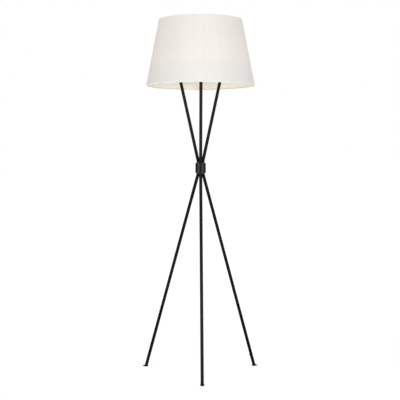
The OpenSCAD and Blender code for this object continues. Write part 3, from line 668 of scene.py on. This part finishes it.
def wrapped(name, line, thick, start, sweep, columns, lift, finish):
    """Sweeps a line round the axis, as a closed strip with a thickness."""
    count, normals = len(line), outward(line)
    way = [(j, 1) for j in range(count)] + [(j, -1) for j in reversed(range(count))]
    mesh = bmesh.new()
    rings = []
    for i in range(columns + 1):
        angle = start + sweep * i / columns
        ring = []
        for j, side in way:
            off = side * thick / 2 + lift(angle, j)
            r = line[j][0] + normals[j][0] * off
            z = line[j][1] + normals[j][1] * off
            spot = (AXIS_X + r * math.cos(angle), AXIS_Y + r * math.sin(angle), z)
            ring.append(mesh.verts.new(spot))
        rings.append(ring)
    for a, b in zip(rings, rings[1:]):
        for j in range(2 * count):
            k = (j + 1) % (2 * count)
            mesh.faces.new((a[j], a[k], b[k], b[j]))
    for ring in (rings[0], rings[-1]):
        for j in range(count - 1):
            far = 2 * count - 1 - j
            mesh.faces.new((ring[j], ring[j + 1], ring[far - 1], ring[far]))
    return keep(mesh, name, [finish])


print("a strip starts near", round(math.degrees(BACK)), "degrees, at the back")

# %% [markdown]
# ## The linen
# On a real shade the cloth is glued flat to its liner, cut along an arc, rolled up and lapped.
# A plain cone would hide that lap, and a cloth simulation would make folds that glued cloth
# can't have. A strip with a true thickness shows the lap as a thin step down the back. Its end
# laps over its start by 11 mm, and the wall breathes by a tenth of a millimetre.

# %% How the cloth climbs over itself and breathes
LINEN_T = 0.0006
LAP = 0.011
GLUE_T = 0.00005
SEAM_START = BACK - LAP / MEAN_R / 2
LINEN_SWEEP = math.tau + LAP / MEAN_R
BREATH, BREATHS_ROUND, BREATHS_UP = 0.00012, 1.6, 9


def smooth(t):
    """0 below 0, 1 above 1, and a soft step between."""
    t = min(max(t, 0.0), 1.0)
    return t * t * (3 - 2 * t)


def linen_r(z):
    """The outer radius of the cloth at a height."""
    t = (z - linen_low.z) / (linen_high.z - linen_low.z)
    return LINEN_BOTTOM_R + (LINEN_TOP_R - LINEN_BOTTOM_R) * t


def climb(angle, start, thick, run=0.006):
    """A strip that began at start climbs over its own start after one turn."""
    past = (angle - start - math.tau) * MEAN_R
    return (thick + GLUE_T) * smooth((past + run) / run)


def breathe(angle, z):
    """How far the glued wall stands off its true cone."""
    x, y = math.cos(angle) * BREATHS_ROUND, math.sin(angle) * BREATHS_ROUND
    return BREATH * noise.noise(Vector((x, y, z * BREATHS_UP)))


print(f"the cloth runs {math.degrees(LINEN_SWEEP):.1f} degrees round")

# %% Wrap the linen round the liner
ROWS = 44
COLUMNS_ROUND = 480

linen_line = []
for i in range(ROWS + 1):
    z = linen_low.z + (linen_high.z - linen_low.z) * i / ROWS
    linen_line.append((linen_r(z) - LINEN_T / 2, z))


def linen_lift(angle, j):
    return climb(angle, SEAM_START, LINEN_T) + breathe(angle, linen_line[j][1])


shade_cloth = wrapped(
    "shade_cloth", linen_line, LINEN_T, SEAM_START, LINEN_SWEEP, COLUMNS_ROUND,
    linen_lift, linen,
)
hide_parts("shade_linen")
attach(shade_cloth, "shade")
print("cloth faces:", len(shade_cloth.data.polygons))

# %% [markdown]
# ## The hem tapes
# Each rim is bound with linen tape: up the outside, round the wire in a soft fold, and back
# up the inside of the liner. A polygon round the wire would look cut from card, so the fold
# is a run of arcs. Round a curve a straight tape puckers a little, and its ends lap beside
# the seam of the cloth, where the tape rides over the seam's step.

# %% The measures of the fold
TAPE_T = 0.0005
LINER_T = 0.0008
WIRE_R = 0.0015
SLACK = 0.00005
CORNER = 0.00095
HEM_H = hem_high.z - hem_low.z
FACE_SHARES = (1, 0.93, 0.8, 0.6, 0.4, 0.25, 0.15)
BACK_SHARES = (0.8, 0.93, 1)
WRAPPED_TO = 125  # degrees round the wire
LEAVES_AT = math.radians(55)
CORNER_STEPS, WRAP_STEPS = 4, 8
TUCK = ((0.0014, -0.0020), (0.0004, -0.0006), (0.00008, 0.0002), (0.0, 0.0009))


def arc(middle, radius, first, last, steps):
    """Points round a middle, from one angle to another, measured from straight down."""
    points = []
    for i in range(steps + 1):
        turn = math.radians(first + (last - first) * i / steps)
        points.append(
            (middle[0] + radius * math.sin(turn), middle[1] - radius * math.cos(turn))
        )
    return points


print(f"a hem is {HEM_H * 1000:.1f} mm tall")

# %% The line of the fold, as depth behind the tape's face and height from the rim
half = TAPE_T / 2
layers = TAPE_T + LINEN_T + LINER_T
inside = layers + half
wire = (layers + SLACK + WIRE_R, TAPE_T + SLACK + WIRE_R)  # its middle
fold = [(half, HEM_H * share) for share in FACE_SHARES]
fold += arc((half + CORNER, half + CORNER), CORNER, -90, 0, CORNER_STEPS)
fold += arc(wire, WIRE_R + SLACK + half, 0, WRAPPED_TO, WRAP_STEPS)
slope_end = fold[-1][1] + (fold[-1][0] - inside) * math.tan(LEAVES_AT)
fold += [(inside + depth, slope_end + height) for depth, height in TUCK]
fold += [(inside, HEM_H * share) for share in BACK_SHARES]
print("points in the fold:", len(fold), "depth", round(max(p[0] for p in fold) * 1000, 2))

# %% Wrap a hem tape round each rim
TAPE_LAP, TAPE_RUN = 0.012, 0.004
BACK_DEPTH = 0.0012
# faces turned down take the copy painted lighter
UNDERSIDE = -0.5  # a face whose normal points down by more than this
SEAM_REACH = 0.08  # radians from the back within which the tape rides over the seam
PUCKER, PUCKERS_ROUND, PUCKERS_DOWN = 0.00006, 24, 0.35
ON_CLOTH, OFF_RUN = 0.0004, 0.0012  # how deep the tape lies on the cloth, and leaves it
HELD_H, FREE_RUN = 0.003, 0.006  # this near the fold the tape is too tight to pucker
TOP_LAP_AT, LOW_LAP_AT = BACK + 0.075, BACK + 0.06


def hem_tape(name, rim, up, start, node):
    """A tape round a rim. `up` is 1 at the lower rim and -1 at the upper one."""
    outer = [linen_r(rim + up * h) + TAPE_T for _, h in fold]
    line = [(r - depth, rim + up * h) for r, (depth, h) in zip(outer, fold)]
    cover = [1 - smooth((depth - ON_CLOTH) / OFF_RUN) for depth, _ in fold]
    free = [smooth((h - HELD_H) / FREE_RUN) for _, h in fold]
    if up > 0:
        for row in (line, cover, free):
            row.reverse()

    def lift(angle, j):
        x, y = math.cos(angle) * PUCKERS_ROUND, math.sin(angle) * PUCKERS_ROUND
        pucker = PUCKER * noise.noise(Vector((x, y, j * PUCKERS_DOWN)))
        over = 0
        if abs(math.remainder(angle - BACK, math.tau)) < SEAM_REACH:
            over = max(climb(angle + turn, SEAM_START, LINEN_T) for turn in (0, math.tau))
        under = cover[j] * (over + breathe(angle, line[j][1]))
        return climb(angle, start, TAPE_T, TAPE_RUN) + under + pucker * free[j]

    sweep = math.tau + TAPE_LAP / MEAN_R
    piece = wrapped(name, line, TAPE_T, start, sweep, COLUMNS_ROUND, lift, tape)
    # back and underside faces take the copy painted lighter: painted light where they lie in
    # shade
    piece.data.materials.append(tape_back_painted_light)
    for face in piece.data.polygons:
        spot = face.center
        radius = math.hypot(spot.x - AXIS_X, spot.y - AXIS_Y)
        hidden = radius < linen_r(spot.z) - BACK_DEPTH
        face.material_index = int(hidden or face.normal.z < UNDERSIDE)
    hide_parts(node)
    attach(piece, "shade")
    return piece


top_tape = hem_tape("hem_tape_top", top_hem_high.z, -1, TOP_LAP_AT, "shade_top_hem")
low_tape = hem_tape("hem_tape_bottom", hem_low.z, 1, LOW_LAP_AT, "shade_bottom_hem")
print("tape faces:", len(top_tape.data.polygons), len(low_tape.data.polygons))

# %% [markdown]
# ## The lap of the liner
# The stiff sheet inside is rolled the same way, and its edge shows as a thin upright strip on
# the inner back wall. A painted line would have no edge to catch the light. A short stretch
# of the same helper gives a real one.

# %% Lay the liner's lap inside the back
LAP_T = 0.0003
LAP_CLEAR = 0.0003  # between the lap and the tapes
LAP_ROWS, LAP_COLUMNS = 24, 8
LAP_START, LAP_SWEEP = BACK + 0.03, 0.062
LAP_GAP = 0.00001

lap_low, lap_high = hem_high.z + LAP_CLEAR, top_hem_low.z - LAP_CLEAR
lap_line = []
for i in range(LAP_ROWS + 1):
    z = lap_high + (lap_low - lap_high) * i / LAP_ROWS
    lap_line.append((linen_r(z) - LINEN_T - LINER_T - LAP_T / 2, z))
liner_lap = wrapped(
    "liner_lap", lap_line, LAP_T, LAP_START, LAP_SWEEP, LAP_COLUMNS,
    lambda angle, j: LAP_GAP, liner,
)
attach(liner_lap, "shade")
print("liner lap:", round((lap_high - lap_low) * 1000), "mm tall")

# %% [markdown]
# ## Weld beads on the feet
# Each leg is welded to its foot plate. A smooth ring would look like rubber. A real bead
# follows the leg's slanted cut, which is an ellipse, and a welder's hand leaves it rippled:
# small overlapping scales where each drop of metal froze. So a small ring of points is carried
# round the ellipse while its radius changes. The ellipse is measured from the lowest points of
# the leg.

# %% How thick a bead is on its way round
BEAD_R = 0.0013
THINNEST, SCALE_SHARE, DROP_SHARE = 0.88, 0.2, 0.18
SCALES, UNEVEN = 11, 0.6  # an even hand would make every scale as long as the next
DROPS_PER_METRE = 400


def bead_radius(t, spot):
    """The thickness of a bead at an angle round the leg and at a point in space."""
    scale = abs(math.sin(t * SCALES + UNEVEN * math.sin(3 * t)))
    drop = noise.noise(spot * DROPS_PER_METRE)
    return BEAD_R * (THINNEST + SCALE_SHARE * scale + DROP_SHARE * drop)


print(f"a bead is about {2000 * BEAD_R:.1f} mm thick")

# %% Run a bead round the end of each leg
AROUND, SECTION = 96, 10
FLATTER = 0.9
NEAR_CUT = 0.001


def weld_bead(leg, foot):
    """A rippled bead round the cut end of a leg."""
    cut_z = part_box(foot)[1].z
    ends = [v.co for v in nodes[leg].data.vertices if v.co.z < cut_z + NEAR_CUT]
    middle = sum(ends, Vector()) / len(ends)
    middle = Vector((middle.x, middle.y, cut_z))
    out = Vector((middle.x - AXIS_X, middle.y - AXIS_Y, 0)).normalized()
    side = Vector((-out.y, out.x, 0))
    reach = max(abs((v - middle).dot(out)) for v in ends)
    wide = max(abs((v - middle).dot(side)) for v in ends)
    mesh = bmesh.new()
    rings = []
    for i in range(AROUND):
        t = math.tau * i / AROUND
        place = out * (reach * math.cos(t)) + side * (wide * math.sin(t))
        away = (out * (math.cos(t) / reach) + side * (math.sin(t) / wide)).normalized()
        radius = bead_radius(t, middle + place)
        ring = []
        for j in range(SECTION):
            s = math.tau * j / SECTION
            spot = middle + place + away * (radius * math.cos(s))
            spot.z += radius * math.sin(s) * FLATTER
            ring.append(mesh.verts.new(spot))
        rings.append(ring)
    for a, b in zip(rings, rings[1:] + rings[:1]):
        for j in range(SECTION):
            k = (j + 1) % SECTION
            mesh.faces.new((a[j], a[k], b[k], b[j]))
    bead = keep(mesh, "weld_" + foot, [foot_iron], ALL_SMOOTH)
    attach(bead, "stand")
    return bead


for way in ("front", "right", "left"):
    bead = weld_bead("leg_" + way, "foot_" + way)
    print(bead.name, "faces:", len(bead.data.polygons))

# %% [markdown]
# ## The bulb's cap
# The cap is thin aluminium, rolled between dies, so its thread is a soft wave. A Screw
# modifier could sweep that wave, but the thread's two ends would stop as open steps. One grid
# of points lets them fade out: each point's distance from the axis follows a cosine that turns
# once per pitch. A dark glass button and a solder tip close the lower end.

# %% The measures of the cap, and its rings from the tip up
cap_low, cap_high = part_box("bulb_base")
CAP_R = (cap_high.x - cap_low.x) / 2
PITCH, WAVE = 0.0036, 0.0005
TIP_R, BUTTON_R, NECK_R = 0.0042, 0.0095, CAP_R - 0.0018
SOLDER, BUTTON, ROLLED = 0, 1, 2  # the cap's three finishes
THREAD_ROWS, COLUMNS = 60, 96
PLAIN_BELOW, PLAIN_ABOVE = 0.0052, 0.0048
TOP_R, TOP_UP = CAP_R - 0.0002, 0.0012
thread_low, thread_high = cap_low.z + PLAIN_BELOW, cap_high.z - PLAIN_ABOVE

below = [
    (TIP_R * 0.75, 0.0002, SOLDER),
    (TIP_R, 0.0011, SOLDER),
    (TIP_R, 0.0014, BUTTON),
    (BUTTON_R * 0.8, 0.0024, BUTTON),
    (BUTTON_R, 0.0038, BUTTON),
    (NECK_R, 0.0045, ROLLED),
]
levels = [(r, cap_low.z + z, metal) for r, z, metal in below]
for i in range(THREAD_ROWS + 1):
    z = thread_low + (thread_high - thread_low) * i / THREAD_ROWS
    levels.append((None, z, ROLLED))  # no radius of its own: the wave gives it
levels += [(TOP_R, thread_high + TOP_UP, ROLLED), (TOP_R, cap_high.z, ROLLED)]
turns = (thread_high - thread_low) / PITCH
print("rings in the cap:", len(levels), "turns of thread:", round(turns, 1))

# %% Roll the thread of the bulb's cap
RUN_OUT, STEP_IN = 0.002, 0.0004  # the thread fades out into a slightly smaller tube


def thread_radius(angle, z):
    """The radius of the rolled wave at an angle and a height."""
    ends = smooth((z - thread_low) / RUN_OUT) * smooth((thread_high - z) / RUN_OUT)
    turn = math.tau * z / PITCH - angle
    return CAP_R - WAVE + (WAVE * math.cos(turn)) * ends - STEP_IN * (1 - ends)


mesh = bmesh.new()
rings = []
for r, z, _ in levels:
    ring = []
    for i in range(COLUMNS):
        angle = math.tau * i / COLUMNS
        radius = thread_radius(angle, z) if r is None else r
        x, y = AXIS_X + radius * math.cos(angle), AXIS_Y + radius * math.sin(angle)
        ring.append(mesh.verts.new((x, y, z)))
    rings.append(ring)
for (a, b), (_, _, metal) in zip(zip(rings, rings[1:]), levels[1:]):
    for i in range(COLUMNS):
        k = (i + 1) % COLUMNS
        face = mesh.faces.new((a[i], a[k], b[k], b[i]))
        face.material_index = metal
tip = mesh.verts.new((AXIS_X, AXIS_Y, cap_low.z))
lid = mesh.verts.new((AXIS_X, AXIS_Y, cap_high.z))
for ring, hub, metal in ((rings[0], tip, SOLDER), (rings[-1], lid, ROLLED)):
    for i in range(COLUMNS):
        face = mesh.faces.new((ring[i], ring[(i + 1) % COLUMNS], hub))
        face.material_index = metal
bulb_cap = keep(mesh, "bulb_cap", [zinc, phenolic, rolled_cap])
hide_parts("bulb_base")
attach(bulb_cap, "bulb")
print("cap faces:", len(bulb_cap.data.polygons), "crest", round(CAP_R * 1000, 2), "mm")

# %% [markdown]
# The linen is a sheet. A cone unrolls into a piece of a ring, and that piece was cut from a
# straight length of cloth.

# %% [markdown]
# ## The floor
# The lamp stands on a white floor in front of nothing. More light on it would make it white
# too, but would also wash out the lamp. So to the camera, and in reflections, most of its
# white is its own glow, and the rest is light that falls on it, so the lamp still leaves a
# faint shadow. Far away it is all glow, so it meets the white surroundings without a line. To
# all other light it is plain white paper.

# %% The white floor
HALF_FLOOR = 30.0
FLOOR_Z = -0.0002  # just under the glides
PAPER = (0.88, 0.88, 0.88)
GLOW = 1.06
GLOW_SHARE = 0.8  # of the white near the lamp
NEAR_SQUARED, FAR_SQUARED = 1.4, 12.0  # square metres, from the middle of the floor

corners = [(-1, -1), (1, -1), (1, 1), (-1, 1)]
floor_mesh = bpy.data.meshes.new("floor")
floor_mesh.from_pydata(
    [(HALF_FLOOR * x, HALF_FLOOR * y, 0) for x, y in corners], [], [(0, 1, 2, 3)]
)
floor = bpy.data.objects.new("floor", floor_mesh)
scene.collection.objects.link(floor)
floor.location.z = FLOOR_Z
paper = Finish("white_floor", Roughness=0.9, Specular_IOR_Level=0.0)
paper.set("Base Color", PAPER)
seen = paper.seen_in("Is Camera Ray", "Is Glossy Ray")
across, along, _ = paper.split(paper.place())
squared = across * across + along * along
share = paper.fade(squared, NEAR_SQUARED, FAR_SQUARED, GLOW_SHARE, 1.0)
glow = paper.node("ShaderNodeEmission", inputs={"Color": (1, 1, 1), "Strength": GLOW})
lit = Signal(paper, paper.shader.outputs[0])
blend = paper.node("ShaderNodeMixShader", inputs={0: seen * share, 1: lit, 2: glow})
paper.feed(paper.tree.nodes["Material Output"].inputs["Surface"], blend)
floor_mesh.materials.append(paper.material)
print("floor is", 2 * HALF_FLOOR, "m wide")

# %% [markdown]
# ## The surroundings
# A white room would flood the lamp with light and leave it flat. So the world is white only
# to the camera, in mirrors and through glass. As a light it is a dimmer grey, and the soft
# boxes can still shape the shade.

# %% The white surroundings
AMBIENT = 0.585
world = bpy.data.worlds.new("surroundings")
scene.world = world
world.use_nodes = True
sky = Graph(world.node_tree)
seen = sky.seen_in("Is Camera Ray", "Is Glossy Ray", "Is Transmission Ray")
background = sky.tree.nodes["Background"]
sky.feed(background.inputs["Strength"], AMBIENT + seen * (1 - AMBIENT))
sky.feed(background.inputs["Color"], (1, 1, 1))
print("light from all round:", AMBIENT)

# %% [markdown]
# ## The soft boxes
# Small lamps would leave hard spots on the iron. Two tall soft boxes stand left and right of
# the camera and leave its middle dark, so on a round black bar they draw the two pale bands
# that tell the eye it is round. A broad fill in front evens out the shade, a low one reaches
# up into it, and one behind keeps the back from going grey. The fills are hidden from
# reflections.

# %% Two soft boxes and three fills
SOFTBOX_AWAY, SOFTBOX_Z, SOFTBOX_SIZE = 2.8, 1.32, (0.5, 2.2)
SOFTBOX_WATTS, SOFTBOX_AIM = 23.4, 0.95  # the aim is the height that a lamp points at


def area_light(name, angle, distance, height, width, tall, watts, aim, mirrored):
    """A rectangle of light. The angle is 0 in front, and grows towards the right."""
    data = bpy.data.lights.new(name, "AREA")
    data.shape = "RECTANGLE"
    data.size, data.size_y = width, tall
    data.energy = watts
    lamp = bpy.data.objects.new(name, data)
    scene.collection.objects.link(lamp)
    turn = math.radians(angle)
    target = Vector((AXIS_X, AXIS_Y, aim))
    lamp.location = (
        AXIS_X + distance * math.sin(turn),
        AXIS_Y - distance * math.cos(turn),
        height,
    )
    lamp.rotation_euler = (target - lamp.location).to_track_quat("-Z", "Y").to_euler()
    lamp.visible_glossy = mirrored
    lamp.visible_camera = False


def softbox(name, angle):
    place = angle, SOFTBOX_AWAY, SOFTBOX_Z
    area_light(name, *place, *SOFTBOX_SIZE, SOFTBOX_WATTS, SOFTBOX_AIM, True)


def fill(name, angle, distance, height, size, watts, aim=1.2):
    area_light(name, angle, distance, height, size, size, watts, aim, False)


softbox("softbox_left", angle=-51)
softbox("softbox_right", angle=49)
fill("fill_front", angle=2, distance=3.4, height=2.1, size=1.3, watts=7.6)
fill("fill_low", angle=0, distance=0.7, height=0.05, size=0.6, watts=16, aim=1.4)
fill("fill_back", angle=180, distance=3.4, height=1.6, size=1.8, watts=42)

# %% [markdown]
# ## Dark flags
# In a studio, black cloth hangs beside a lamp so that its dark iron has something dark to
# mirror. Dimmer soft boxes would darken the iron too, but the shade as well. These three
# curved flags darken the iron alone. Only reflections see them: they take no light from the
# lamp, and the camera looks through them.

# %% Hang the dark flags
FLAG_AWAY, FLAG_HIGH, FLAG_STEPS = 2.3, 3.0, 24
FLAG_CLOTH = (0.012, 0.012, 0.012)
flag_black = Finish("flag_black", Roughness=1.0, Specular_IOR_Level=0.0)
flag_black.set("Base Color", FLAG_CLOTH)


def flag(name, first, last):
    """A curved black cloth from one angle to another, as seen only in reflections."""
    mesh = bmesh.new()
    rows = []
    for i in range(FLAG_STEPS + 1):
        turn = math.radians(first + (last - first) * i / FLAG_STEPS)
        x, y = AXIS_X + FLAG_AWAY * math.sin(turn), AXIS_Y - FLAG_AWAY * math.cos(turn)
        rows.append([mesh.verts.new((x, y, z)) for z in (0.0, FLAG_HIGH)])
    for a, b in zip(rows, rows[1:]):
        mesh.faces.new((a[0], b[0], b[1], a[1]))
    made = keep(mesh, name, [flag_black.material])
    made.visible_camera = False
    made.visible_diffuse = False
    made.visible_transmission = False
    made.visible_shadow = False
    return made


flags = [flag("flag_front", -36, 36), flag("flag_left", -176, -66), flag("flag_right", 66, 176)]
print("flags:", len(flags))

# %% [markdown]
# ## The end
# The dressing must not make the lamp bigger than its solids.

# %% The end
print("the scene is built")
